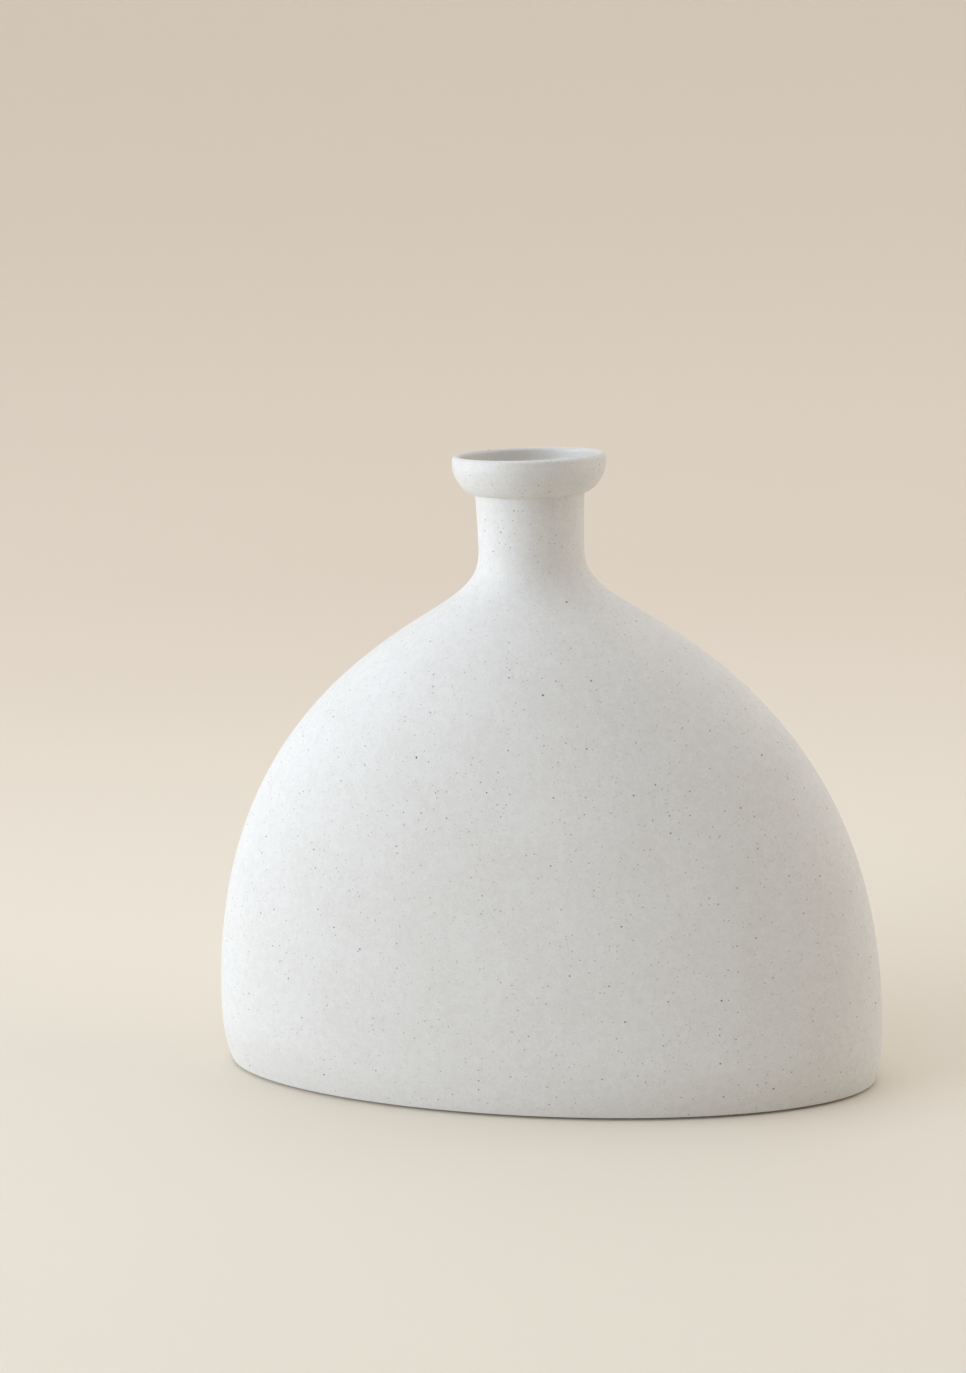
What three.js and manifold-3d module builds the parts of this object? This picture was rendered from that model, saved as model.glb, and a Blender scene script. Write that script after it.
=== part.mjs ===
// Flattened stoneware bottle vase: a broad moon-shaped body, a short round neck and a cupped rim.
//
// It is built up the way a potter builds it. Two pressed wall halves meet at a lapped seam along
// each end, and stand on a slab base whose raised step fits inside them. The thrown neck drops a
// spigot into the shoulder, and the rim collar sits over a second spigot on top of the neck.
//
// Units are millimetres. Z is up, X runs along the broad side, Y points to the back, and the
// origin is on the table under the middle of the base.

import * as THREE from 'three';
import { mergeVertices } from 'three/addons/utils/BufferGeometryUtils.js';
import Module from 'manifold-3d';

const wasm = await Module();
wasm.setup();

// ---------------------------------------------------------------- driving dimensions

// Body, outside. A half width is along X and a half depth is along Y.
const footInsetWidth = 2.9; // how far the foot stands in from the belly, along X
const footInsetDepth = 2.9; // and along Y
const footTuck = 9.0; // height over which the foot turns in
const bellyHalfWidth = 135.5;
const bellyHalfDepth = 60.0;
const bellyHeight = 23.0;
const flankRise = 107.0; // how far the flanks stay nearly upright above the belly
const shoulderHalfWidth = 39.8;
const shoulderHalfDepth = 31.0;
const shoulderHeight = 189.4;
const shoulderSlope = 30.8; // degrees above level, along X
const shoulderRun = 40.0; // length of the even slope below the shoulder point
const shoulderDepthRun = 20.0; // how far that stretch reaches out along Y
const throatRun = 18.0; // length of the even slope above the shoulder point
const throatTuck = 9.0; // height over which the throat straightens into the neck

// Plan section: 2 is an ellipse, and higher is squarer at the ends.
const footSquareness = 2.0;
const bellySquareness = 2.2;
const roundSquareness = 2.0;

// Neck and rim, outside.
const neckRadius = 20.7;
const throatRise = 23.6; // from the shoulder point to where the neck runs straight
const neckLength = 22.0; // the straight part
const neckTopFlare = 0.7; // added to the neck's radius where the rim starts
const rimUnderLedge = 0.3; // from there out to the rim's lower edge
const rimOverhang = 9.2; // from the neck's radius out to the rim's
const rimHeight = 15.0;
const rimUnderRise = 11.2; // height over which the underside rounds out to the full radius
const rimRoundness = 1.7; // 2 is a round underside, and higher is squarer

// Clay thicknesses.
const wallThickness = 5.0;
const slabThickness = 7.0;
const neckThickness = 4.8;
const lipThickness = 3.0;
const cupFloorThickness = 5.4;

// Joints.
const slipGap = 0.3; // the film of slip between two luted faces
const seamLap = 4.0; // overlap of the two wall halves along Y
const slabStepHeight = 3.5;
const slabStepWidth = 12.0;
const neckJointDrop = 8.0; // below where the neck runs straight
const spigotThickness = 2.1;
const lowerSpigotDepth = 6.0;
const upperSpigotHeight = 2.6;

// Underside.
const footRingWidth = 11.0;
const footRecessDepth = 1.2;

// Fineness of the faceted solids.
const planSteps = 52;
const roundSteps = 36;
const footSteps = 3;
const flankSteps = 9;
const throatSteps = 4;
const neckSteps = 2;
const rimSteps = 4;
const weldDistance = 1e-4; // corners closer than this are one corner

// ---------------------------------------------------------------- worked out from those

const footHalfWidth = bellyHalfWidth - footInsetWidth;
const footHalfDepth = bellyHalfDepth - footInsetDepth;
const neckTopRadius = neckRadius + neckTopFlare;
const rimUnderRadius = neckTopRadius + rimUnderLedge;
const rimRadius = neckRadius + rimOverhang;
const neckStartHeight = shoulderHeight + throatRise;
const neckJointHeight = neckStartHeight - neckJointDrop;
const rimSeatHeight = neckStartHeight + neckLength;
const rimBellyHeight = rimSeatHeight + rimUnderRise;
const rimTopHeight = rimSeatHeight + rimHeight;
const neckBoreRadius = neckRadius - neckThickness;
const spigotRadius = neckBoreRadius + spigotThickness;
const slope = THREE.MathUtils.degToRad(shoulderSlope);
const beyond = 300.0; // how far a cutter reaches past what it cuts

// ---------------------------------------------------------------- solids

/** Turns a closed three.js geometry into a solid that can be joined and cut. */
function toSolid(geometry) {
  const bare = geometry.clone();
  bare.deleteAttribute('normal');
  bare.deleteAttribute('uv');
  const merged = mergeVertices(bare, weldDistance);
  const vertProperties = new Float32Array(merged.attributes.position.array);
  const triVerts = new Uint32Array(merged.index.array);
  return new wasm.Manifold(new wasm.Mesh({ numProp: 3, vertProperties, triVerts }));
}

/** Turns a solid back into a flat-shaded three.js geometry. */
function toGeometry(solid) {
  const mesh = solid.getMesh();
  const geometry = new THREE.BufferGeometry();
  geometry.setAttribute('position', new THREE.BufferAttribute(mesh.vertProperties, 3));
  geometry.setIndex(new THREE.BufferAttribute(mesh.triVerts, 1));
  geometry.computeVertexNormals();
  return geometry;
}

/** A solid of revolution about Z. Each profile point is (radius, height), going up the outside. */
function turned(profile) {
  const geometry = new THREE.LatheGeometry(profile, roundSteps);
  geometry.rotateX(Math.PI / 2);
  return toSolid(geometry);
}

/** A plain cylinder standing on Z from one height to another. */
function post(radius, low, high) {
  return turned([
    new THREE.Vector2(0, low),
    new THREE.Vector2(radius, low),
    new THREE.Vector2(radius, high),
    new THREE.Vector2(0, high),
  ]);
}

/** A box given by its two opposite corners. */
function block(low, high) {
  const size = new THREE.Vector3().subVectors(high, low);
  const geometry = new THREE.BoxGeometry(size.x, size.y, size.z);
  geometry.translate((low.x + high.x) / 2, (low.y + high.y) / 2, (low.z + high.z) / 2);
  return toSolid(geometry);
}

/** Everything between two heights. */
function belt(low, high) {
  return block(new THREE.Vector3(-beyond, -beyond, low), new THREE.Vector3(beyond, beyond, high));
}

/** Everything between two places along Y. */
function slice(front, back) {
  return block(
    new THREE.Vector3(-beyond, front, -beyond),
    new THREE.Vector3(beyond, back, 2 * beyond),
  );
}

// ---------------------------------------------------------------- the body's shape

/**
 * The outside as joined curves from the foot to the top of the neck. A point on them holds
 * (half width, half depth, height), so the broad and narrow outlines share their heights.
 */
function outsideCurves() {
  const foot = new THREE.Vector3(footHalfWidth, footHalfDepth, 0);
  const belly = new THREE.Vector3(bellyHalfWidth, bellyHalfDepth, bellyHeight);
  const shoulder = new THREE.Vector3(shoulderHalfWidth, shoulderHalfDepth, shoulderHeight);
  const neck = new THREE.Vector3(neckRadius, neckRadius, neckStartHeight);
  const slopeStep = new THREE.Vector3(
    -Math.cos(slope),
    -shoulderDepthRun / shoulderRun,
    Math.sin(slope),
  );
  const footHandle = foot.clone().add(belly).divideScalar(2).setZ(footTuck / 2);
  const bellyLow = belly.clone().setZ(footTuck);
  const bellyHigh = belly.clone().setZ(bellyHeight + flankRise);
  const shoulderLow = shoulder.clone().addScaledVector(slopeStep, -shoulderRun);
  const shoulderHigh = shoulder.clone().addScaledVector(slopeStep, throatRun);
  const neckLow = neck.clone().setZ(neckStartHeight - throatTuck);
  const neckHigh = neck.clone().setZ((neckStartHeight + rimSeatHeight) / 2);
  const neckTop = new THREE.Vector3(neckTopRadius, neckTopRadius, rimSeatHeight);
  return [
    [new THREE.CubicBezierCurve3(foot, footHandle, bellyLow, belly), footSteps],
    [new THREE.CubicBezierCurve3(belly, bellyHigh, shoulderLow, shoulder), flankSteps],
    [new THREE.CubicBezierCurve3(shoulder, shoulderHigh, neckLow, neck), throatSteps],
    [new THREE.QuadraticBezierCurve3(neck, neckHigh, neckTop), neckSteps],
  ];
}

/** How square the plan is at a height: it eases from foot to belly, then to round at the neck. */
function squareness(height) {
  const low = THREE.MathUtils.smoothstep(height, 0, bellyHeight);
  const high = THREE.MathUtils.smoothstep(height, bellyHeight, neckJointHeight);
  const body = THREE.MathUtils.lerp(footSquareness, bellySquareness, low);
  return THREE.MathUtils.lerp(body, roundSquareness, high);
}

/** The outside's levels, moved inward by a thickness measured square to the wall. */
function outsideLevels(inset) {
  const levels = [];
  outsideCurves().forEach(([curve, steps], order) => {
    for (let step = order === 0 ? 0 : 1; step <= steps; step += 1) {
      const at = curve.getPoint(step / steps);
      const along = curve.getTangent(step / steps);
      const leanX = Math.hypot(1, along.x / along.z);
      const leanY = Math.hypot(1, along.y / along.z);
      levels.push(new THREE.Vector3(at.x - inset * leanX, at.y - inset * leanY, at.z));
    }
  });
  return levels;
}

/** A closed loft through levels of (half width, half depth, height). */
function loft(levels) {
  const outline = levels.map((level) => new THREE.Vector2(level.x, level.z));
  const profile = [
    new THREE.Vector2(0, outline[0].y),
    ...outline,
    new THREE.Vector2(0, outline[outline.length - 1].y),
  ];
  const depths = [0, ...levels.map((level) => level.y), 0];
  const geometry = new THREE.LatheGeometry(profile, planSteps);
  geometry.rotateX(Math.PI / 2);
  const position = geometry.attributes.position;
  for (let index = 0; index < position.count; index += 1) {
    const level = index % profile.length;
    const column = Math.floor(index / profile.length) % planSteps;
    const turn = (column / planSteps) * 2 * Math.PI;
    const power = 2 / squareness(profile[level].y);
    const across = Math.sign(Math.sin(turn)) * Math.abs(Math.sin(turn)) ** power;
    const through = -Math.sign(Math.cos(turn)) * Math.abs(Math.cos(turn)) ** power;
    position.setXY(index, profile[level].x * across, depths[level] * through);
  }
  return toSolid(geometry);
}

/** Everything inside a surface set in from the outside, run straight down past the base. */
function insideWalls(inset) {
  const levels = outsideLevels(inset).filter((level) => level.z > slabThickness / 2);
  levels.unshift(levels[0].clone().setZ(-beyond));
  return loft(levels);
}

/** An upright plug with the foot's plan, set in from its edge. */
function insideFoot(inset, low, high) {
  const halfWidth = footHalfWidth - inset;
  const halfDepth = footHalfDepth - inset;
  return loft([
    new THREE.Vector3(halfWidth, halfDepth, low),
    new THREE.Vector3(halfWidth, halfDepth, high),
  ]);
}

// ---------------------------------------------------------------- the pieces

const outside = loft(outsideLevels(0));

/** The ring of clay that both wall halves are cut from, bored for the neck's spigot. */
function wallRing() {
  const bore = post(
    spigotRadius + slipGap,
    neckJointHeight - lowerSpigotDepth - slipGap,
    neckJointHeight + beyond,
  );
  return outside
    .intersect(belt(slabThickness + slipGap, neckJointHeight - slipGap))
    .subtract(insideWalls(wallThickness))
    .subtract(bore);
}

/**
 * What belongs to the front half: everything in front of the seam, and a tongue of the
 * wall's inner half that laps behind it. Room widens it all round, for the slip.
 */
function frontShare(room) {
  const seamFace = room - slipGap / 2;
  const tongueInset = (wallThickness + slipGap) / 2 - room;
  const tongue = insideWalls(tongueInset).intersect(slice(-seamLap, seamLap + seamFace));
  return slice(-beyond, seamFace).add(tongue);
}

/** The slab under the walls: foot edge, raised step inside the walls, foot ring below. */
function baseSlab() {
  const plate = outside.intersect(belt(-beyond, slabThickness));
  const stepTop = slabThickness + slabStepHeight;
  const stepInset = wallThickness + slipGap;
  const step = insideWalls(stepInset)
    .intersect(belt(slabThickness / 2, stepTop))
    .subtract(insideFoot(stepInset + slabStepWidth, slabThickness, stepTop + beyond));
  const recess = insideFoot(footRingWidth, -beyond, footRecessDepth);
  return plate.add(step).subtract(recess);
}

/** The thrown neck: the outside from the shoulder joint up, with a spigot at each end. */
function neckTube() {
  const spigots = post(
    spigotRadius,
    neckJointHeight - lowerSpigotDepth,
    rimSeatHeight + upperSpigotHeight,
  );
  const bore = post(neckBoreRadius, neckJointHeight - beyond, rimTopHeight + beyond);
  return outside
    .intersect(belt(neckJointHeight, rimSeatHeight - slipGap))
    .add(spigots)
    .subtract(bore);
}

/** Points round a quarter turn of a superellipse, from its bottom to its side. */
function quarterOutline(innerRadius, outerRadius, low, high, roundness) {
  const points = [];
  for (let step = 0; step <= rimSteps; step += 1) {
    const turn = (step / rimSteps) * (Math.PI / 2);
    const out = Math.sin(turn) ** (2 / roundness);
    const up = 1 - Math.cos(turn) ** (2 / roundness);
    const radius = innerRadius + (outerRadius - innerRadius) * out;
    points.push(new THREE.Vector2(radius, low + (high - low) * up));
  }
  return points;
}

/** The cupped rim: a bowl-shaped collar with a rounded lip, socketed over the neck. */
function rimCollar() {
  const lipRadius = lipThickness / 2;
  const cupRadius = rimRadius - lipThickness;
  const cupFloor = rimSeatHeight + cupFloorThickness;
  const lip = new THREE.Path();
  lip.absarc(rimRadius - lipRadius, rimTopHeight - lipRadius, lipRadius, 0, Math.PI, false);
  const profile = [
    new THREE.Vector2(neckBoreRadius, rimSeatHeight),
    ...quarterOutline(rimUnderRadius, rimRadius, rimSeatHeight, rimBellyHeight, rimRoundness),
    ...lip.getPoints(rimSteps),
    ...quarterOutline(neckBoreRadius, cupRadius, cupFloor, rimBellyHeight, 2).reverse(),
    new THREE.Vector2(neckBoreRadius, rimSeatHeight),
  ];
  const socket = post(
    spigotRadius + slipGap,
    rimSeatHeight - beyond,
    rimSeatHeight + upperSpigotHeight + slipGap,
  );
  return turned(profile).subtract(socket);
}

// ---------------------------------------------------------------- the vase

const stoneware = { roughness: 0.72, metalness: 0.0 };
const ring = wallRing();
const pieces = [
  ['base_slab', baseSlab(), '#d9d6cf'],
  ['front_wall', ring.intersect(frontShare(0)), '#e3e2de'],
  ['back_wall', ring.subtract(frontShare(slipGap)), '#e0dfdb'],
  ['neck', neckTube(), '#e1e0db'],
  ['rim_collar', rimCollar(), '#e4e3df'],
];

const group = new THREE.Group();
group.name = 'stoneware_vase';
for (const [name, solid, color] of pieces) {
  const material = new THREE.MeshStandardMaterial({ color, ...stoneware });
  const mesh = new THREE.Mesh(toGeometry(solid), material);
  mesh.name = name;
  group.add(mesh);
}

export default group;
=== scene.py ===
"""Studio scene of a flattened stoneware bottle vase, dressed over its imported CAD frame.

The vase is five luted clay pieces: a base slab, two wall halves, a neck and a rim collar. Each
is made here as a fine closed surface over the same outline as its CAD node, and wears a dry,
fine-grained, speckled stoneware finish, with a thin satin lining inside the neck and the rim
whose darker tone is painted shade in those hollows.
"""

import logging
import math
from collections.abc import Sequence
from dataclasses import dataclass, field
from enum import Enum

import bpy
import numpy as np
from mathutils import Euler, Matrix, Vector


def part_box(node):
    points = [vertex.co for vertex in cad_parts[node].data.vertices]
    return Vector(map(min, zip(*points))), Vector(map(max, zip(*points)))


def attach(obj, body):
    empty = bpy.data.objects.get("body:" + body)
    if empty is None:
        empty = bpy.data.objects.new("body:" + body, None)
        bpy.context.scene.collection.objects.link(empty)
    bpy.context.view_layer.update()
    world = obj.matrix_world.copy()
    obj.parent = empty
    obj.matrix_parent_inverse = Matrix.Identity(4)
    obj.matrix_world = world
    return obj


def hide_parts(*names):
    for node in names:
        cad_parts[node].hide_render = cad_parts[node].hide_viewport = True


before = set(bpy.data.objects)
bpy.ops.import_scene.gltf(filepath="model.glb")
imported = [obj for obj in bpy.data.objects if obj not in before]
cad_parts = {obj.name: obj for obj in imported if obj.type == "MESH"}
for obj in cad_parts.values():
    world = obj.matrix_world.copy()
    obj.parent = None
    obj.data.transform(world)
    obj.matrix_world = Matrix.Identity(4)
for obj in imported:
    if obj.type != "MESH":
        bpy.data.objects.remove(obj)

MM = 0.001
BODY = "root"
SLAB_SEAM = 7.15 * MM
Colour = tuple[float, float, float]

log = logging.getLogger("vase")


# ------------------------------------------------------------------ shader maths


class Field:
    """A shader value that Python sums can be written with."""

    def __init__(self, bench: "Bench", socket: bpy.types.NodeSocket) -> None:
        """Keeps the bench that adds nodes and the socket that holds the value."""
        self.bench = bench
        self.socket = socket

    def joined(self, operation: str, *values: "Field | float") -> "Field":
        """Adds one Math node.

        Args:
            operation: The Math node's operation.
            values: Its inputs in order, each a field or a number.

        Returns:
            The node's result.
        """
        inputs = dict(enumerate(values))
        return self.bench.value("ShaderNodeMath", {"operation": operation}, inputs)

    def __add__(self, other: "Field | float") -> "Field":
        """Sum."""
        return self.joined("ADD", self, other)

    def __sub__(self, other: "Field | float") -> "Field":
        """Difference."""
        return self.joined("SUBTRACT", self, other)

    def __rsub__(self, other: float) -> "Field":
        """Difference from a number on the left."""
        return self.joined("SUBTRACT", other, self)

    def __mul__(self, other: "Field | float") -> "Field":
        """Product."""
        return self.joined("MULTIPLY", self, other)

    def __gt__(self, other: "Field | float") -> "Field":
        """One where this is greater, else nought."""
        return self.joined("GREATER_THAN", self, other)

    def at_least(self, other: "Field | float") -> "Field":
        """The larger of the two."""
        return self.joined("MAXIMUM", self, other)

    def held(self) -> "Field":
        """The value held between nought and one."""
        return self.joined("MINIMUM", self.at_least(0.0), 1.0)

    def ramp(self, low: "Field | float", high: "Field | float") -> "Field":
        """An eased step.

        Args:
            low: Where the step starts.
            high: Where the step ends.

        Returns:
            Nought at low and one at high, smooth between.
        """
        settings = {"interpolation_type": "SMOOTHSTEP"}
        inputs = {"Value": self, "From Min": low, "From Max": high}
        return self.bench.value("ShaderNodeMapRange", settings, inputs)


class Bench:
    """A material's node tree, with one way to add a node."""

    def __init__(self, name: str) -> None:
        """Makes an empty material of this name, with its output and its main shader."""
        self.material = bpy.data.materials.new(name)
        self.material.use_nodes = True
        self.tree = self.material.node_tree
        self.tree.nodes.clear()
        self.shader = self.node("ShaderNodeBsdfPrincipled")
        self.node("ShaderNodeOutputMaterial", None, {"Surface": self.shader.outputs["BSDF"]})

    def node(
        self, kind: str, settings: dict | None = None, inputs: dict | None = None
    ) -> bpy.types.Node:
        """Adds a node, sets it, then fills its sockets.

        Args:
            kind: The node's type.
            settings: Attributes to set first, such as a Math node's operation.
            inputs: Socket name or number to a field, a socket or a plain value.

        Returns:
            The new node.
        """
        made = self.tree.nodes.new(kind)
        for key, setting in (settings or {}).items():
            setattr(made, key, setting)
        for key, given in (inputs or {}).items():
            socket = made.inputs[key]
            if isinstance(given, Field):
                self.tree.links.new(given.socket, socket)
            elif isinstance(given, bpy.types.NodeSocket):
                self.tree.links.new(given, socket)
            else:
                socket.default_value = given
        return made

    def value(
        self,
        kind: str,
        settings: dict | None = None,
        inputs: dict | None = None,
        output: str | int = 0,
    ) -> Field:
        """Adds a node and hands back one of its outputs.

        Args:
            kind: The node's type.
            settings: Attributes to set first.
            inputs: Socket name or number to what it gets.
            output: The output wanted.

        Returns:
            That output as a field.
        """
        return Field(self, self.node(kind, settings, inputs).outputs[output])

    def mixed(self, factor: Field, first: "Field | Colour", second: "Field | Colour") -> Field:
        """Blends two colours.

        Args:
            factor: Nought for the first colour, one for the second.
            first: A colour or a field of colours.
            second: A colour or a field of colours.

        Returns:
            The blended colour.
        """
        mix = self.node("ShaderNodeMix", {"data_type": "RGBA"})
        self.tree.links.new(factor.socket, mix.inputs[0])
        for socket, given in ((mix.inputs[6], first), (mix.inputs[7], second)):
            if isinstance(given, Field):
                self.tree.links.new(given.socket, socket)
            else:
                socket.default_value = (*given, 1.0)
        return Field(self, mix.outputs[2])

    def place(self) -> Field:
        """The point's own place on the vase, in metres."""
        return self.value("ShaderNodeTexCoord", output="Object")

    def noise(self, place: Field, grain: float, detail: float = 2.0) -> Field:
        """Smooth noise.

        Args:
            place: Where it is read.
            grain: The size of its patches, in metres.
            detail: How many finer layers it holds.

        Returns:
            The noise, from nought to one about a half.
        """
        inputs = {"Vector": place, "Scale": 1.0 / grain, "Detail": detail, "Roughness": 0.5}
        return self.value("ShaderNodeTexNoise", None, inputs)

    def wear(self, **links: Field) -> None:
        """Links fields to the main shader's sockets, an underscore standing for a space."""
        for name, given in links.items():
            self.tree.links.new(given.socket, self.shader.inputs[name.replace("_", " ")])

    def bump(self, height: Field, strength: float, reach: float) -> Field:
        """Turns a height into a bumped normal.

        Args:
            height: The height field, about nought to one.
            strength: How strongly it tells.
            reach: What one unit of height measures, in metres.

        Returns:
            The normal.
        """
        inputs = {"Height": height, "Strength": strength, "Distance": reach}
        return self.value("ShaderNodeBump", None, inputs, "Normal")


# ------------------------------------------------------------------ finishes


@dataclass(frozen=True)
class Specks:
    """One size of iron speck in the clay, scattered one to a cell.

    A cell of the given width holds one speck at a random place. Its radius varies from speck
    to speck, and only a share of the cells keep theirs.
    """

    cell: float
    radius: float
    share: float
    strength: float
    shift: Colour = (0.0, 0.0, 0.0)

    def mask(self, bench: Bench, place: Field, ragged: Field) -> Field:
        """Where these specks show.

        Args:
            bench: The material's bench.
            place: Object coordinates.
            ragged: Fine noise that makes their edges uneven.

        Returns:
            How dark the specks are at each point, nought in plain clay.
        """
        moved = bench.value(
            "ShaderNodeVectorMath", {"operation": "ADD"}, {0: place, 1: self.shift}
        )
        inputs = {"Vector": moved, "Scale": 1.0 / self.cell}
        cells = bench.node("ShaderNodeTexVoronoi", None, inputs)
        away = Field(bench, cells.outputs["Distance"]) * (self.cell / self.radius)
        dice = bench.node("ShaderNodeSeparateColor", None, {"Color": cells.outputs["Color"]})
        size = Field(bench, dice.outputs[0]) * 0.6 + 0.4
        kept = Field(bench, dice.outputs[1]) > (1.0 - self.share)
        depth = Field(bench, dice.outputs[2]) * 0.6 + 0.4
        edge = away + (ragged - 0.5) * 0.7
        inside = 1.0 - edge.ramp(size * 0.7, size)
        return inside * kept * depth * self.strength


@dataclass(frozen=True)
class Stoneware:
    """Fired speckled stoneware: pale clay, faint mottling, iron specks and a fine dry grain."""

    name: str
    clay: Colour
    warm: Colour
    roughness: float
    specular: float
    grain_bump: float
    specks: tuple[Specks, ...]
    coat: float = 0.0
    coat_roughness: float = 0.3
    iron: Colour = (0.085, 0.075, 0.068)
    patch_size: float = 24 * MM
    freckle_size: float = 3.4 * MM
    crumb_size: float = 1.1 * MM
    grain_size: float = 0.42 * MM
    relief_reach: float = 0.05 * MM

    def material(self) -> bpy.types.Material:
        """Builds the material.

        Colour is the pale clay drifting slightly to a warmer clay in patches of three sizes,
        darkened to iron where specks lie. The bump is dry grain plus tiny pits.

        Returns:
            The material.
        """
        bench = Bench(self.name)
        place = bench.place()
        patches = bench.noise(place, self.patch_size, 3.0)
        freckle = bench.noise(place, self.freckle_size)
        grain = bench.noise(place, self.grain_size, 3.0)
        crumb = bench.noise(place, self.crumb_size)
        mottle = (patches - 0.5) * 1.3 + (freckle - 0.5) * 1.9 + (crumb - 0.5) * 2.2
        drift = (mottle + 0.5).held()
        clay = bench.mixed(drift, self.clay, self.warm)
        masks = [kind.mask(bench, place, grain) for kind in self.specks]
        iron = masks[0]
        for mask in masks[1:]:
            iron = iron.at_least(mask)
        rough = (freckle - 0.5) * 0.10 + (grain - 0.5) * 0.08 + self.roughness
        relief = grain * 0.6 + crumb + freckle * 1.4
        bench.wear(
            Base_Color=bench.mixed(iron.held(), clay, self.iron),
            Roughness=rough.held(),
            Normal=bench.bump(relief, self.grain_bump, self.relief_reach),
        )
        bench.shader.inputs["Specular IOR Level"].default_value = self.specular
        bench.shader.inputs["Coat Weight"].default_value = self.coat
        bench.shader.inputs["Coat Roughness"].default_value = self.coat_roughness
        return bench.material


@dataclass(frozen=True)
class Paper:
    """Seamless background paper with hardly any tooth; its tone is painted light and shade, paler
    round the vase and a little darker far out.
    """

    name: str
    near: Colour
    middle: Colour
    far: Colour
    first_ease: tuple[float, float] = (0.15, 1.1)
    second_ease: tuple[float, float] = (1.6, 3.4)
    tooth_size: float = 1.2 * MM
    tooth_reach: float = 0.05 * MM
    tooth_strength: float = 0.12
    roughness: float = 0.9
    specular: float = 0.2

    def material(self) -> bpy.types.Material:
        """Builds the material, its tone easing from near to middle to far with distance: painted
        light round the vase, painted shade further out.

        Returns:
            The material.
        """
        bench = Bench(self.name)
        place = bench.place()
        tooth = bench.noise(place, self.tooth_size, 3.0)
        measure = {"operation": "LENGTH"}
        away = bench.value("ShaderNodeVectorMath", measure, {0: place}, "Value")
        # Painted light and shade: the tone pales round the vase inside the first ease and darkens
        # past the second.
        inner = bench.mixed(away.ramp(*self.first_ease), self.near, self.middle)
        bench.wear(
            Base_Color=bench.mixed(away.ramp(*self.second_ease), inner, self.far),
            Normal=bench.bump(tooth, self.tooth_strength, self.tooth_reach),
        )
        bench.shader.inputs["Roughness"].default_value = self.roughness
        bench.shader.inputs["Specular IOR Level"].default_value = self.specular
        return bench.material


IRON_SPECKS = (
    Specks(cell=6.1 * MM, radius=0.48 * MM, share=0.95, strength=1.0),
    Specks(cell=3.4 * MM, radius=0.42 * MM, share=0.92, strength=0.70, shift=(0.31, 0.17, 0.05)),
    Specks(cell=2.1 * MM, radius=0.36 * MM, share=0.90, strength=0.52, shift=(0.13, 0.41, 0.29)),
    Specks(cell=1.2 * MM, radius=0.27 * MM, share=0.80, strength=0.30, shift=(0.47, 0.07, 0.37)),
)
LINER_SPECKS = (
    Specks(cell=6.1 * MM, radius=0.42 * MM, share=0.8, strength=0.6),
    Specks(cell=2.1 * MM, radius=0.33 * MM, share=0.7, strength=0.16, shift=(0.13, 0.41, 0.29)),
)


class Coat(Enum):
    """Which of a piece's two finishes a face wears, as the number of its material slot."""

    OUTSIDE = 0
    HIDDEN_SIDE = 1


# ------------------------------------------------------------------ meshes


def closed_piece(
    name: str,
    points: np.ndarray,
    faces: Sequence[Sequence[int]],
    coats: Sequence[int],
    sharp: float = 38.0,
) -> bpy.types.Object:
    """Makes a closed mesh object at the origin, with its faces pointing outward.

    The signed volume is the sum over faces of first corner dot (edge cross edge), over a fan
    of triangles. If it is negative every face is turned over.

    Args:
        name: The piece's name.
        points: The corners, one row each, in metres.
        faces: Corner numbers of each face.
        coats: Material slot of each face.
        sharp: Edges bent more than this many degrees stay crisp.

    Returns:
        The new object.
    """
    fans = np.array(
        [(face[0], face[k], face[k + 1]) for face in faces for k in range(1, len(face) - 1)]
    )
    first, second, third = (points[fans[:, k]] for k in range(3))
    volume = np.einsum("ij,ij->i", first, np.cross(second, third)).sum() / 6.0
    if volume < 0.0:
        faces = [face[::-1] for face in faces]
    mesh = bpy.data.meshes.new(name)
    mesh.from_pydata(points.tolist(), [], faces)
    mesh.polygons.foreach_set("use_smooth", np.ones(len(faces), bool))
    mesh.polygons.foreach_set("material_index", np.asarray(coats, np.int32))
    mesh.update()
    mesh.set_sharp_from_angle(angle=math.radians(sharp))
    made = bpy.data.objects.new(name, mesh)
    bpy.context.scene.collection.objects.link(made)
    log.info("%s: %d faces, %.1f cm3", name, len(faces), abs(volume) * 1e6)
    return made


def grid_faces(rows: int, columns: int, wrap_rows: bool, wrap_columns: bool) -> np.ndarray:
    """Four-sided faces over a grid of points numbered row by row.

    Args:
        rows: How many rows.
        columns: How many columns.
        wrap_rows: Whether the last row joins the first.
        wrap_columns: Whether the last column joins the first.

    Returns:
        One row of four corner numbers for each face, in row order.
    """
    row = np.arange(rows if wrap_rows else rows - 1)[:, None]
    column = np.arange(columns if wrap_columns else columns - 1)[None, :]
    below, above = row * columns, (row + 1) % rows * columns
    left, right = column, (column + 1) % columns
    corners = np.stack([below + left, below + right, above + right, above + left], axis=-1)
    return corners.reshape(-1, 4)


def cubic(controls: np.ndarray, steps: int) -> np.ndarray:
    """Points along a cubic curve.

    A point at t is the four controls weighted by (1-t)^3, 3t(1-t)^2, 3t^2(1-t) and t^3.

    Args:
        controls: Four control points.
        steps: How many points.

    Returns:
        The points, one row each.
    """
    t = np.linspace(0.0, 1.0, steps)[:, None]
    weights = ((1 - t) ** 3, 3 * t * (1 - t) ** 2, 3 * t**2 * (1 - t), t**3)
    return sum(weight * control for weight, control in zip(weights, controls))


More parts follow.
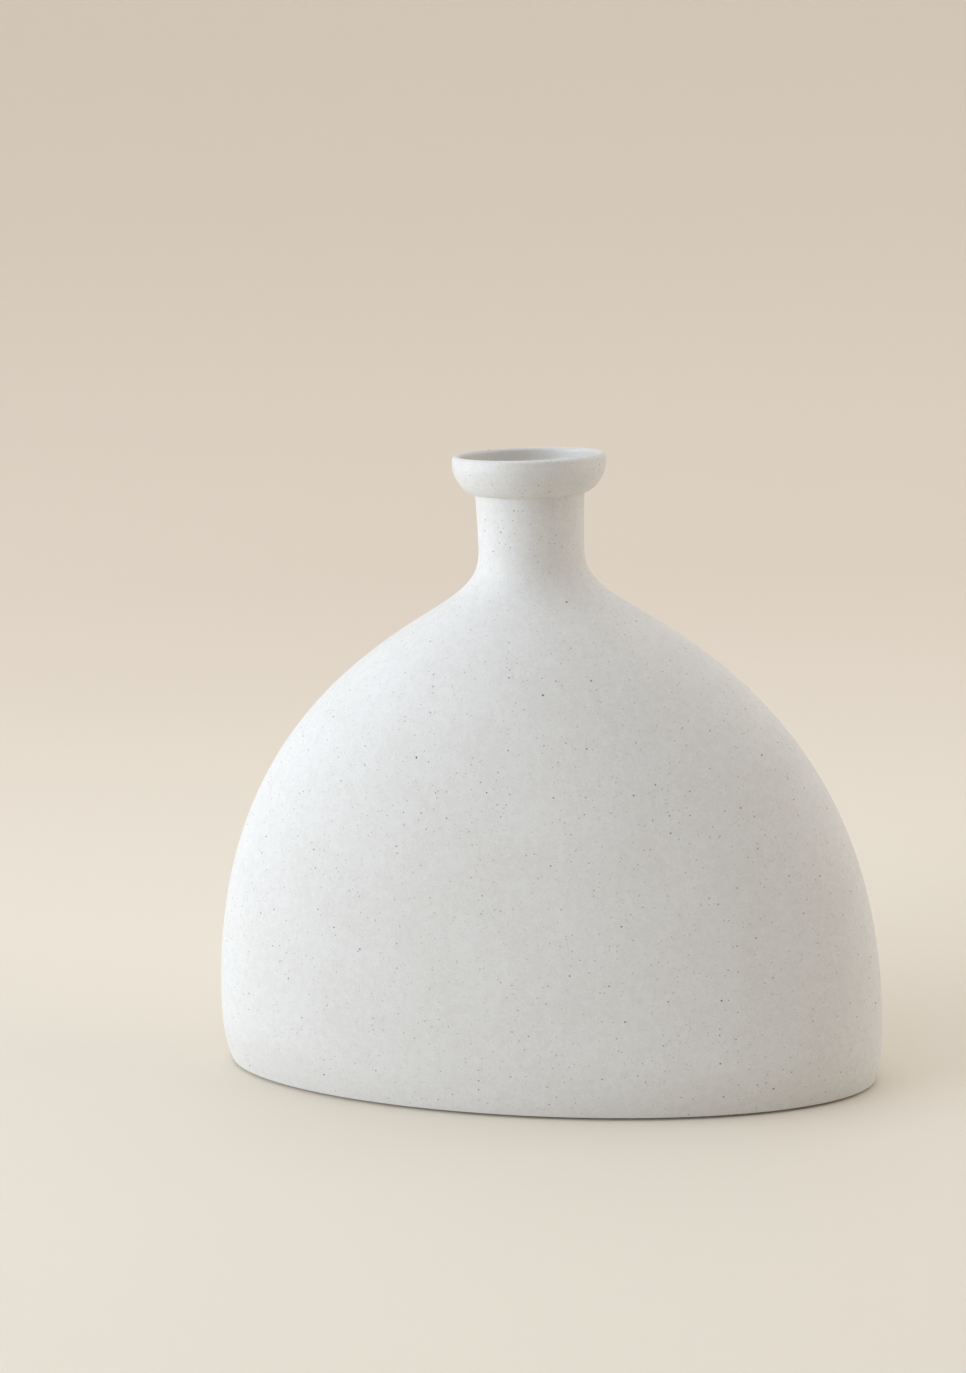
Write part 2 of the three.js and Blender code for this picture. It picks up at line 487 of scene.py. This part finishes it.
def corner_arc(
    centre: tuple[float, float], radius: float, start: float, stop: float, steps: int = 7
) -> np.ndarray:
    """Points round an arc in a (radius, height) profile: centre plus radius (cos a, sin a).

    Args:
        centre: The arc's centre.
        radius: The arc's radius.
        start: First angle in degrees, from outward level.
        stop: Last angle in degrees.
        steps: How many points.

    Returns:
        The points, one row each.
    """
    angle = np.radians(np.linspace(start, stop, steps))
    return np.stack(
        [centre[0] + radius * np.cos(angle), centre[1] + radius * np.sin(angle)], axis=1
    )


def smooth(value: np.ndarray | float, low: float, high: float) -> np.ndarray:
    """Eased step: 3u^2 - 2u^3, with u running from nought at low to one at high."""
    u = np.clip((np.asarray(value, float) - low) / (high - low), 0.0, 1.0)
    return u * u * (3.0 - 2.0 * u)


# ------------------------------------------------------------------ the outline


@dataclass
class Outline:
    """The vase's outside from foot to rim seat, the same curves as its CAD solids.

    Broad and narrow outlines are one set of cubic curves through points that hold (half width,
    half depth, height). Level sections are superellipses: |x/w|^n + |y/d|^n = 1.
    """

    belly_half_width: float
    belly_half_depth: float
    rim_seat: float
    foot_inset: tuple[float, float] = (2.9 * MM, 2.9 * MM)
    foot_tuck: float = 9.0 * MM
    belly_height: float = 23.0 * MM
    flank_rise: float = 107.0 * MM
    shoulder: tuple[float, float, float] = (39.8 * MM, 31.0 * MM, 189.4 * MM)
    shoulder_slope: float = 30.8
    shoulder_run: float = 40.0 * MM
    shoulder_depth_run: float = 20.0 * MM
    throat_run: float = 18.0 * MM
    throat_rise: float = 23.6 * MM
    throat_tuck: float = 9.0 * MM
    neck_radius: float = 20.7 * MM
    neck_top_radius: float = 21.4 * MM
    neck_joint_drop: float = 8.0 * MM
    squareness: tuple[float, float, float] = (2.0, 2.2, 2.0)
    table: np.ndarray = field(init=False)

    def __post_init__(self) -> None:
        """Samples the curves once, for the other methods to read."""
        self.table = self.sampled()

    @property
    def neck_start(self) -> float:
        """Height where the neck runs straight."""
        return self.shoulder[2] + self.throat_rise

    @property
    def neck_joint(self) -> float:
        """Height of the joint between shoulder and neck."""
        return self.neck_start - self.neck_joint_drop

    @property
    def foot_half(self) -> np.ndarray:
        """Half width and half depth of the foot."""
        return np.array([self.belly_half_width, self.belly_half_depth]) - self.foot_inset

    def sampled(self, steps: int = 400) -> np.ndarray:
        """Samples the joined curves.

        Args:
            steps: Points on each curve.

        Returns:
            Rows of (half width, half depth, height), going up.
        """
        foot = np.array([*self.foot_half, 0.0])
        belly = np.array([self.belly_half_width, self.belly_half_depth, self.belly_height])
        shoulder = np.array(self.shoulder)
        neck = np.array([self.neck_radius, self.neck_radius, self.neck_start])
        top = np.array([self.neck_top_radius, self.neck_top_radius, self.rim_seat])
        slope = math.radians(self.shoulder_slope)
        ratio = self.shoulder_depth_run / self.shoulder_run
        step = np.array([-math.cos(slope), -ratio, math.sin(slope)])
        up = np.array([0.0, 0.0, 1.0])
        half_way = (foot + belly) / 2
        foot_high = np.array([half_way[0], half_way[1], self.foot_tuck / 2])
        belly_low = belly + up * (self.foot_tuck - self.belly_height)
        middle = (neck[2] + top[2]) / 2
        neck_curve = (
            neck,
            np.array([neck[0], neck[1], neck[2] + (middle - neck[2]) * 2 / 3]),
            np.array([neck[0], neck[1], middle]) * 2 / 3 + top / 3,
            top,
        )
        curves = (
            (foot, foot_high, belly_low, belly),
            (belly, belly + up * self.flank_rise, shoulder - step * self.shoulder_run, shoulder),
            (shoulder, shoulder + step * self.throat_run, neck - up * self.throat_tuck, neck),
            neck_curve,
        )
        parts = [cubic(np.array(controls), steps)[1:] for controls in curves]
        return np.concatenate([foot[None, :], *parts])

    def power(self, heights: np.ndarray) -> np.ndarray:
        """How square the section is: foot to belly, then easing to round at the neck joint."""
        foot, belly, neck = self.squareness
        body = foot + (belly - foot) * smooth(heights, 0.0, self.belly_height)
        return body + (neck - body) * smooth(heights, self.belly_height, self.neck_joint)

    def halves(self, heights: np.ndarray, inset: np.ndarray | float = 0.0) -> np.ndarray:
        """Half sizes of level sections.

        An inset is measured square to the wall, so level sections shrink by the inset times
        the root of 1 + slope squared.

        Args:
            heights: The sections' heights.
            inset: How far in from the outside.

        Returns:
            Rows of (half width, half depth).
        """
        z = self.table[:, 2]
        found = []
        for axis in (0, 1):
            size = self.table[:, axis]
            lean = np.sqrt(1.0 + np.gradient(size, z) ** 2)
            found.append(
                np.interp(heights, z, size) - inset * np.interp(heights, z, lean)
            )
        return np.stack(found, axis=-1)

    def levels(self, low: float, high: float, count: int) -> np.ndarray:
        """Heights between two levels, evenly spaced along the broad outline."""
        steps = np.diff(self.table[:, [0, 2]], axis=0)
        walked = np.concatenate([[0.0], np.cumsum(np.hypot(steps[:, 0], steps[:, 1]))])
        ends = np.interp([low, high], self.table[:, 2], walked)
        heights = np.interp(np.linspace(*ends, count), walked, self.table[:, 2])
        heights[0], heights[-1] = low, high
        return heights

    def turns(self, start: float, stop: float, count: int) -> np.ndarray:
        """Turns of the section's parameter, evenly spaced round the belly's section.

        Args:
            start: First turn, in radians, nought along +X and a quarter along +Y.
            stop: Last turn.
            count: How many.

        Returns:
            The turns.
        """
        fine = np.linspace(start, stop, 4001)
        belly = np.array([self.belly_height])
        ring = self.around(belly, self.halves(belly), fine)[0]
        steps = np.linalg.norm(np.diff(ring, axis=0), axis=1)
        walked = np.concatenate([[0.0], np.cumsum(steps)])
        return np.interp(np.linspace(0.0, walked[-1], count), walked, fine)

    def around(self, heights: np.ndarray, halves: np.ndarray, turns: np.ndarray) -> np.ndarray:
        """Points round level sections.

        x = w sgn(cos a) |cos a|^(2/n) and y = d sgn(sin a) |sin a|^(2/n) at turn a.

        Args:
            heights: One height for each section.
            halves: One (half width, half depth) for each section.
            turns: The turns, the same for each section or one row for each.

        Returns:
            An array of sections by turns by (x, y, z).
        """
        power = 2.0 / self.power(heights)[:, None]
        turns = np.broadcast_to(turns, (len(heights), np.shape(turns)[-1]))
        cos, sin = np.cos(turns), np.sin(turns)
        cos = np.where(np.abs(cos) < 1e-9, 0.0, cos)
        sin = np.where(np.abs(sin) < 1e-9, 0.0, sin)
        x = halves[:, :1] * np.sign(cos) * np.abs(cos) ** power
        y = halves[:, 1:] * np.sign(sin) * np.abs(sin) ** power
        z = np.broadcast_to(heights[:, None], x.shape)
        return np.stack([x, y, z], axis=-1)

    def turn_at(self, heights: np.ndarray, halves: np.ndarray, depth: float) -> np.ndarray:
        """The turn at which each section has gone this far back: asin((depth/d)^(n/2))."""
        share = np.clip(depth / halves[:, 1], 0.0, 1.0)
        return np.arcsin(share ** (self.power(heights) / 2.0))[:, None]


# ------------------------------------------------------------------ the pieces


@dataclass
class Walls:
    """The two wall halves, lapped along their end seams.

    A level section of a half is one closed loop: the outside arc, a stepped seam, the inside
    arc and the other seam. The front half carries the tongue, and the back half its rebate.
    """

    outline: Outline
    low: float
    thickness: float = 5.0 * MM
    lap: float = 4.0 * MM
    slip: float = 0.15 * MM
    rows: int = 132
    columns: int = 190
    seam_columns: int = 6

    def front(self) -> bpy.types.Object:
        """Builds the front half, with a tongue behind the seam at each end.

        Returns:
            The piece.
        """
        form = self.outline
        z = form.levels(self.low, form.neck_joint, self.rows)
        outer, inner = form.halves(z), form.halves(z, self.thickness)
        middle = form.halves(z, self.thickness / 2 + self.slip)
        sweep = form.turns(math.pi, 2 * math.pi, self.columns)
        lap_in = form.turn_at(z, inner, self.lap)
        lap_mid = form.turn_at(z, middle, self.lap)
        seam = np.zeros((len(z), 1))
        points = np.concatenate((
            form.around(z, outer, sweep),
            form.around(z, middle, np.concatenate([seam, lap_mid], axis=1)),
            form.around(z, inner, lap_in),
            form.around(z, inner, sweep[::-1]),
            form.around(z, inner, math.pi - lap_in),
            form.around(z, middle, math.pi - np.concatenate([lap_mid, seam], axis=1)),
        ), axis=1)
        count = self.columns
        caps = []
        for row in (0, len(z) - 1):
            start = row * points.shape[1]
            out = [start + k for k in range(count)]
            back = [start + 2 * count + 2 - k for k in range(count)]
            right = [start + count + k for k in range(3)]
            left = [start + 2 * count + 3 + k for k in range(3)]
            caps.append([left[2], out[0], out[1], back[1], back[0]])
            caps += [[out[k], out[k + 1], back[k + 1], back[k]] for k in range(1, count - 2)]
            caps.append([out[-2], out[-1], right[0], back[-1], back[-2]])
            caps.append([right[0], right[1], right[2], back[-1]])
            caps.append([back[0], left[0], left[1], left[2]])
        return self.finished("front_wall_clay", points, caps)

    def back(self) -> bpy.types.Object:
        """Builds the back half, rebated along each seam for the front half's tongue.

        Returns:
            The piece.
        """
        form = self.outline
        z = form.levels(self.low, form.neck_joint, self.rows)
        outer, inner = form.halves(z), form.halves(z, self.thickness)
        middle = form.halves(z, self.thickness / 2 - self.slip)
        lap = self.lap + 2 * self.slip
        lap_out = form.turn_at(z, outer, lap)
        lap_mid = form.turn_at(z, middle, lap)
        lap_in = form.turn_at(z, inner, lap)
        seam = np.zeros((len(z), 1))
        share = (form.turns(0.0, math.pi, self.columns) / math.pi)[None, :]
        depths = np.linspace(0.0, lap, self.seam_columns + 1)[:-1]
        start = np.concatenate([form.turn_at(z, outer, depth) for depth in depths], axis=1)
        points = np.concatenate((
            form.around(z, outer, start),
            form.around(z, outer, lap_out + (math.pi - 2 * lap_out) * share),
            form.around(z, outer, math.pi - start[:, ::-1]),
            form.around(z, middle, math.pi - np.concatenate([seam, lap_mid], axis=1)),
            form.around(z, inner, lap_in + (math.pi - 2 * lap_in) * share[:, ::-1]),
            form.around(z, middle, np.concatenate([lap_mid, seam], axis=1)),
        ), axis=1)
        count, edge = self.columns, self.seam_columns
        caps = []
        for row in (0, len(z) - 1):
            first = row * points.shape[1]
            out = [first + edge + k for k in range(count)]
            left = [first + count + 2 * edge + k for k in range(2)]
            back = [first + 2 * count + 2 * edge + 1 - k for k in range(count)]
            right = [first + 2 * count + 2 * edge + 2 + k for k in range(2)]
            caps.append([right[0], out[0], out[1], back[1], back[0]])
            caps += [[out[k], out[k + 1], back[k + 1], back[k]] for k in range(1, count - 2)]
            caps.append([out[-2], out[-1], left[1], back[-1], back[-2]])
            caps.append([right[1], *range(first, first + edge + 1), right[0]])
            caps.append([*range(out[-1], out[-1] + edge + 1), left[0], left[1]])
        return self.finished("back_wall_clay", points, caps)

    def finished(self, name: str, points: np.ndarray, caps: list[list[int]]) -> bpy.types.Object:
        """Closes a half: its sides are a grid over rows and loop, and caps shut its ends."""
        rows, columns = points.shape[:2]
        faces = grid_faces(rows, columns, False, True).tolist()
        coats = [Coat.OUTSIDE.value] * (len(faces) + len(caps))
        return closed_piece(name, points.reshape(-1, 3), faces + caps, coats)


def revolved(
    name: str, outline: Outline, profile: np.ndarray, coats: Sequence[int], columns: int
) -> bpy.types.Object:
    """Carries a profile round the vase's axis.

    A profile row is (half width, half depth, height). A profile that starts and ends on the
    axis is shut with a pole at each end, and any other closes on itself.

    Args:
        name: The piece's name.
        outline: Gives the squareness of the sections.
        profile: The profile's rows.
        coats: Material slot of each band between one row and the next.
        columns: How many points round.

    Returns:
        The piece.
    """
    turns = outline.turns(0.0, 2 * math.pi, columns + 1)[:-1]
    poled = profile[0, 0] == 0.0
    ring = profile[1:-1] if poled else profile
    points = outline.around(ring[:, 2], ring[:, :2], turns).reshape(-1, 3)
    faces = grid_faces(len(ring), columns, not poled, True).tolist()
    coat_of = np.repeat(np.asarray(coats[1:-1] if poled else coats), columns).tolist()
    if poled:
        ends = np.array([[0.0, 0.0, profile[0, 2]], [0.0, 0.0, profile[-1, 2]]])
        low, high = len(points), len(points) + 1
        points = np.concatenate([points, ends])
        last = (len(ring) - 1) * columns
        for k in range(columns):
            after = (k + 1) % columns
            faces += [[low, after, k], [high, last + k, last + after]]
            coat_of += [coats[0], coats[-1]]
    return closed_piece(name, points, faces, coat_of)


@dataclass
class BaseSlab:
    """The slab under the walls: an undercut foot edge, a foot ring, and a raised step inside."""

    outline: Outline
    top: float
    step_top: float
    wall: float = 5.0 * MM
    slip: float = 0.3 * MM
    step_width: float = 12.0 * MM
    ring_width: float = 11.0 * MM
    ring_edge: float = 0.4 * MM
    recess: float = 1.2 * MM
    recess_slope: float = 0.6 * MM
    step_edge: float = 0.8 * MM
    undercut_rise: float = 1.1 * MM
    undercut_reach: float = 3.6 * MM
    arris: float = 0.25 * MM
    columns: int = 380

    def build(self) -> bpy.types.Object:
        """Builds the slab as one closed profile from pole to pole.

        The foot's edge is cut back just above the table, so a thin shadow runs under it.

        Returns:
            The piece.
        """
        form = self.outline
        foot = form.foot_half
        side = form.levels(self.undercut_rise + self.arris, self.top, 12)
        step_side = np.array([self.top, self.step_top - self.step_edge])
        rows: list[tuple[float, float, float]] = [(0.0, 0.0, self.recess)]
        inner_edge = self.ring_width + self.recess_slope
        for inset, height in ((inner_edge, self.recess), (self.ring_width, 0.0)):
            rows += [(*(foot - inset - self.ring_edge), height), (*(foot - inset), height)]
        rows.append((*(foot - self.undercut_reach), 0.0))
        under = len(rows)
        rows.append((*(foot - self.arris), self.undercut_rise - self.arris * 0.4))
        rows.append((*(foot - self.arris * 0.3), self.undercut_rise))
        rows += [(*half, height) for half, height in zip(form.halves(side), side)]
        inside = form.halves(step_side, self.wall + self.slip)
        rows += [(*half, height) for half, height in zip(inside, step_side)]
        rows.append((*(inside[-1] - self.step_edge), self.step_top))
        rows.append((*(inside[-1] - self.step_width), self.step_top))
        rows.append((*(inside[-1] - self.step_width), self.top))
        rows.append((0.0, 0.0, self.top))
        profile = np.array(rows)
        coats = [
            Coat.HIDDEN_SIDE.value if k < under else Coat.OUTSIDE.value
            for k in range(len(rows) - 1)
        ]
        return revolved("base_slab_clay", form, profile, coats, self.columns)


@dataclass
class Neck:
    """The thrown neck: flared into the shoulder, bored through, with a spigot at each end."""

    outline: Outline
    low: float
    high: float
    bore: float = 15.9 * MM
    spigot: float = 18.0 * MM
    collar_flare: float = 0.25 * MM
    flare_rise: float = 1.8 * MM
    flare_power: float = 2.2
    top_edge: float = 0.3 * MM
    low_edge: float = 0.4 * MM
    rows: int = 54
    columns: int = 240

    def build(self) -> bpy.types.Object:
        """Builds the neck as one closed profile carried round the axis.

        Returns:
            The piece.
        """
        form = self.outline
        seat, joint = form.rim_seat, form.neck_joint
        z = form.levels(joint, seat, self.rows)
        near_seat = np.clip((z - seat) / self.flare_rise + 1.0, 0.0, 1.0)
        flare = self.collar_flare * near_seat**self.flare_power
        outer = np.column_stack([form.halves(z) + flare[:, None], z])
        round_rows = [
            (self.spigot, seat),
            (self.spigot, self.high - self.top_edge),
            (self.spigot - self.top_edge, self.high),
            (self.bore, self.high),
            *((self.bore, height) for height in np.linspace(self.high, self.low, 14)[1:]),
            (self.spigot - self.low_edge, self.low),
            (self.spigot, self.low + self.low_edge),
            (self.spigot, joint),
        ]
        inner = np.array([(radius, radius, height) for radius, height in round_rows])
        profile = np.concatenate([outer, inner])
        lined = range(len(outer) + 2, len(profile) - 3)
        coats = [
            Coat.HIDDEN_SIDE.value if k in lined else Coat.OUTSIDE.value
            for k in range(len(profile))
        ]
        return revolved("neck_clay", form, profile, coats, self.columns)


@dataclass
class RimCollar:
    """The cupped rim: rounded underside, soft lip, and a bowl inside that falls to the bore."""

    outline: Outline
    radius: float
    top: float
    under_radius: float = 21.7 * MM
    under_rise: float = 11.2 * MM
    roundness: float = 1.7
    lip: float = 3.0 * MM
    floor_thickness: float = 5.4 * MM
    bore: float = 15.9 * MM
    bore_edge: float = 0.8 * MM
    socket: float = 18.3 * MM
    socket_rise: float = 2.9 * MM
    columns: int = 300

    def quarter(
        self, inner: float, outer: float, low: float, high: float, roundness: float, steps: int
    ) -> np.ndarray:
        """A quarter superellipse from its foot to its side.

        Radius is inner + (outer - inner) sin(a)^(2/n), and height is
        low + (high - low) (1 - cos(a)^(2/n)), for a from nought to a quarter turn.

        Args:
            inner: Radius at the foot.
            outer: Radius at the side.
            low: Height of the foot.
            high: Height of the side.
            roundness: The power n.
            steps: How many points.

        Returns:
            Rows of (radius, height).
        """
        angle = np.linspace(0.0, math.pi / 2, steps)
        out = np.sin(angle) ** (2.0 / roundness)
        up = 1.0 - np.clip(np.cos(angle), 0.0, 1.0) ** (2.0 / roundness)
        return np.stack([inner + (outer - inner) * out, low + (high - low) * up], axis=1)

    def build(self) -> bpy.types.Object:
        """Builds the collar as one closed profile carried round the axis.

        Returns:
            The piece.
        """
        seat = self.outline.rim_seat
        side = seat + self.under_rise
        half_lip = self.lip / 2
        floor = seat + self.floor_thickness
        cup = self.radius - self.lip
        under = self.quarter(self.under_radius, self.radius, seat, side, self.roundness, 30)
        lip = corner_arc((self.radius - half_lip, self.top - half_lip), half_lip, 0.0, 180.0, 25)
        edge = self.bore_edge
        bowl = self.quarter(self.bore + edge, cup, floor, side, 2.0, 26)[::-1]
        drop = corner_arc((self.bore + edge, floor - edge), edge, 90.0, 180.0, 6)
        socket_top = seat + self.socket_rise
        hidden = np.array([
            (self.bore, socket_top),
            (self.socket, socket_top),
            (self.socket, seat),
        ])
        flat = np.concatenate([under, lip, bowl, drop[1:], hidden])
        profile = np.column_stack([flat[:, 0], flat[:, 0], flat[:, 1]])
        first = len(under) + len(lip) * 2 // 3
        last = len(flat) - len(hidden)
        coats = [
            Coat.HIDDEN_SIDE.value if first <= k < last else Coat.OUTSIDE.value
            for k in range(len(flat))
        ]
        return revolved("rim_collar_clay", self.outline, profile, coats, self.columns)


# ------------------------------------------------------------------ the vase


@dataclass
class Vase:
    """The whole vase: builds the pieces, dresses them and ties them to the CAD frame."""

    outline: Outline
    slab_seam: float
    dry: Stoneware
    satin: Stoneware
    shaded_liner: Stoneware
    foot: Stoneware

    def build(self) -> None:
        """Makes every piece in order, foot to rim."""
        dry, satin = self.dry.material(), self.satin.material()
        shaded_liner, foot = self.shaded_liner.material(), self.foot.material()
        slab_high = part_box("base_slab")[1][2]
        neck_low, neck_high = (corner[2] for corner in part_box("neck"))
        rim_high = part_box("rim_collar")[1]
        walls = Walls(self.outline, self.slab_seam)
        slab = BaseSlab(self.outline, self.slab_seam, slab_high)
        neck = Neck(self.outline, neck_low, neck_high)
        rim = RimCollar(self.outline, rim_high[0], rim_high[2])
        self.dress(slab.build(), "base_slab", "speckled_stoneware", dry, foot)
        self.dress(walls.front(), "front_wall", "speckled_stoneware", dry)
        self.dress(walls.back(), "back_wall", "speckled_stoneware", dry)
        self.dress(neck.build(), "neck", "speckled_stoneware", dry, shaded_liner)
        self.dress(rim.build(), "rim_collar", "satin_rim", satin, shaded_liner)

    def dress(
        self, piece: bpy.types.Object, node: str, slot: str, *coats: bpy.types.Material
    ) -> None:
        """Gives a piece its finishes and ties it to the frame.

        Args:
            piece: The piece.
            node: The CAD node it stands for.
            slot: The record's material slot; not used.
            coats: Its materials, in slot order.
        """
        for coat in coats:
            piece.data.materials.append(coat)
        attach(piece, BODY)
        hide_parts(node)
        log.info("%s stands for %s", piece.name, node)


# ------------------------------------------------------------------ the studio


@dataclass
class Cove:
    """A round seamless cove: a flat floor that sweeps up slowly all the way round."""

    paper: Paper
    floor_radius: float = 1.4
    sweep_radius: float = 3.0
    sweep: float = 80.0
    columns: int = 96

    def build(self) -> None:
        """Builds the cove: a flat disc, then an arc that starts level and steepens."""
        arc = np.radians(np.linspace(0.0, self.sweep, 40))
        radius = np.concatenate([[0.02, 0.7], self.floor_radius + self.sweep_radius * np.sin(arc)])
        height = np.concatenate([[0.0, 0.0], self.sweep_radius * (1.0 - np.cos(arc))])
        turn = np.linspace(0.0, 2 * math.pi, self.columns, endpoint=False)
        grid = np.stack(
            [
                radius[:, None] * np.cos(turn),
                radius[:, None] * np.sin(turn),
                np.broadcast_to(height[:, None], (len(height), self.columns)),
            ],
            axis=-1,
        ).reshape(-1, 3)
        faces = grid_faces(len(radius), self.columns, False, True).tolist()
        faces.append(list(range(self.columns))[::-1])
        mesh = bpy.data.meshes.new("cove")
        mesh.from_pydata(grid.tolist(), [], faces)
        mesh.polygons.foreach_set("use_smooth", np.ones(len(faces), bool))
        mesh.materials.append(self.paper.material())
        cove = bpy.data.objects.new("cove", mesh)
        bpy.context.scene.collection.objects.link(cove)


def bearing(azimuth: float, elevation: float) -> Vector:
    """The direction away from the vase at an azimuth, nought in front, and an elevation."""
    turn, lift = math.radians(azimuth), math.radians(elevation)
    level = math.cos(lift)
    return Vector((math.sin(turn) * level, -math.cos(turn) * level, math.sin(lift)))


@dataclass(frozen=True)
class Flag:
    """An upright black board out of shot that keeps light off one side."""

    azimuth: float
    distance: float
    width: float
    height: float

    def build(self) -> None:
        """Stands the board on the floor, facing the vase, out of the camera's sight."""
        turn = math.radians(self.azimuth)
        out = np.array([math.sin(turn), -math.cos(turn)]) * self.distance
        side = np.array([math.cos(turn), math.sin(turn)]) * self.width / 2
        corners = [(*(out - side), 0.0), (*(out + side), 0.0)]
        corners += [(*(out + side), self.height), (*(out - side), self.height)]
        mesh = bpy.data.meshes.new("flag")
        mesh.from_pydata([tuple(map(float, corner)) for corner in corners], [], [(0, 1, 2, 3)])
        bench = Bench("black_cloth")
        bench.shader.inputs["Base Color"].default_value = (0.03, 0.03, 0.03, 1.0)
        bench.shader.inputs["Roughness"].default_value = 0.95
        mesh.materials.append(bench.material)
        flag = bpy.data.objects.new("flag", mesh)
        flag.visible_camera = False
        bpy.context.scene.collection.objects.link(flag)


@dataclass(frozen=True)
class SoftLight:
    """A large diffused light panel aimed at the vase."""

    name: str
    azimuth: float
    elevation: float
    distance: float
    width: float
    height: float
    power: float
    colour: Colour

    def build(self, target: Vector) -> None:
        """Hangs the light at its azimuth and elevation, facing the target.

        Args:
            target: The point it faces.
        """
        away = bearing(self.azimuth, self.elevation)
        lamp = bpy.data.lights.new(self.name, "AREA")
        lamp.shape = "RECTANGLE"
        lamp.size, lamp.size_y = self.width, self.height
        lamp.energy, lamp.color = self.power, self.colour
        held = bpy.data.objects.new(self.name, lamp)
        held.location = target + away * self.distance
        held.rotation_euler = (-away).to_track_quat("-Z", "Y").to_euler()
        held.visible_camera = False
        bpy.context.scene.collection.objects.link(held)


@dataclass(frozen=True)
class Viewpoint:
    """A camera on a stand: aimed at a target, then panned, tilted and rolled a little."""

    azimuth: float
    elevation: float
    distance: float
    pan: float
    tilt: float
    roll: float
    lens: float

    def build(self, target: Vector) -> None:
        """Sets up the scene's camera.

        Args:
            target: The point that it would face with no pan or tilt.
        """
        away = bearing(self.azimuth, self.elevation)
        data = bpy.data.cameras.new("camera")
        data.lens = self.lens
        data.clip_start, data.clip_end = 0.05, 20.0
        camera = bpy.data.objects.new("camera", data)
        camera.location = target + away * self.distance
        pitch = math.pi / 2 - math.radians(self.elevation) + math.radians(self.tilt)
        yaw = math.radians(self.azimuth) + math.radians(self.pan)
        level = Euler((pitch, 0.0, yaw), "XYZ").to_matrix()
        rolled = level @ Euler((0.0, 0.0, -math.radians(self.roll))).to_matrix()
        camera.rotation_euler = rolled.to_euler()
        bpy.context.scene.collection.objects.link(camera)
        bpy.context.scene.camera = camera


@dataclass
class Studio:
    """Cove, lights, air and camera."""

    target: Vector
    cove: Cove
    flag: Flag
    lights: tuple[SoftLight, ...]
    viewpoint: Viewpoint
    air: Colour
    air_strength: float

    def build(self) -> None:
        """Sets up everything round the vase."""
        self.cove.build()
        self.flag.build()
        for light in self.lights:
            light.build(self.target)
        world = bpy.data.worlds.new("studio_air")
        world.use_nodes = True
        sky = world.node_tree.nodes["Background"]
        sky.inputs["Color"].default_value = (*self.air, 1.0)
        sky.inputs["Strength"].default_value = self.air_strength
        bpy.context.scene.world = world
        self.viewpoint.build(self.target)
        bpy.context.scene.view_settings.view_transform = "Standard"


def main() -> None:
    """Builds the studio and the vase."""
    logging.basicConfig(level=logging.INFO, format="%(name)s: %(message)s")
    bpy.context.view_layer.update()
    wall_low, wall_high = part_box("front_wall")
    rim_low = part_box("rim_collar")[0]
    outline = Outline(
        belly_half_width=wall_high[0], belly_half_depth=-wall_low[1], rim_seat=rim_low[2]
    )
    studio = Studio(
        target=Vector((0.0, 0.0, 0.125)),
        cove=Cove(
            Paper(
                "warm_paper_painted_light_and_shade",
                # Painted tones: near is painted light round the vase; middle and far are painted
                # shade out on the floor and up the sweep.
                near=(0.775, 0.712, 0.615),
                middle=(0.73, 0.650, 0.555),
                far=(0.668, 0.592, 0.505),
            )
        ),
        flag=Flag(azimuth=34.0, distance=1.15, width=1.7, height=1.5),
        lights=(
            SoftLight("window", -61.0, 12.0, 2.2, 2.0, 1.2, 44.0, (0.725, 0.85, 1.0)),
            SoftLight("rear_fill", 92.0, 15.0, 1.7, 1.6, 1.4, 8.6, (1.0, 0.97, 0.95)),
        ),
        viewpoint=Viewpoint(11.35, 13.21, 0.900, 1.35, 2.10, 1.85, 59.2),
        air=(1.0, 1.0, 1.0),
        air_strength=1.02,
    )
    studio.build()
    dry = Stoneware(
        name="dry_stoneware",
        clay=(0.716, 0.711, 0.696),
        warm=(0.674, 0.661, 0.637),
        roughness=0.68,
        specular=0.35,
        grain_bump=0.55,
        specks=IRON_SPECKS,
    )
    satin = Stoneware(
        name="satin_stoneware",
        clay=(0.694, 0.688, 0.672),
        warm=(0.655, 0.642, 0.618),
        roughness=0.50,
        specular=0.5,
        grain_bump=0.2,
        specks=IRON_SPECKS,
    )
    # The lining is a satin glaze inside the bore and the bowl; its tone, darker and warmer than
    # the outside clay, is painted shade in those hollows.
    shaded_liner = Stoneware(
        name="satin_liner_painted_shade",
        clay=(0.66, 0.64, 0.612),
        warm=(0.635, 0.61, 0.58),
        roughness=0.38,
        specular=0.5,
        grain_bump=0.12,
        specks=LINER_SPECKS,
        coat=0.15,
    )
    foot = Stoneware(
        name="bare_foot",
        clay=(0.70, 0.68, 0.64),
        warm=(0.66, 0.63, 0.58),
        roughness=0.85,
        specular=0.25,
        grain_bump=0.6,
        specks=IRON_SPECKS,
    )
    Vase(outline, SLAB_SEAM, dry, satin, shaded_liner, foot).build()


if __name__ == "__main__":
    main()
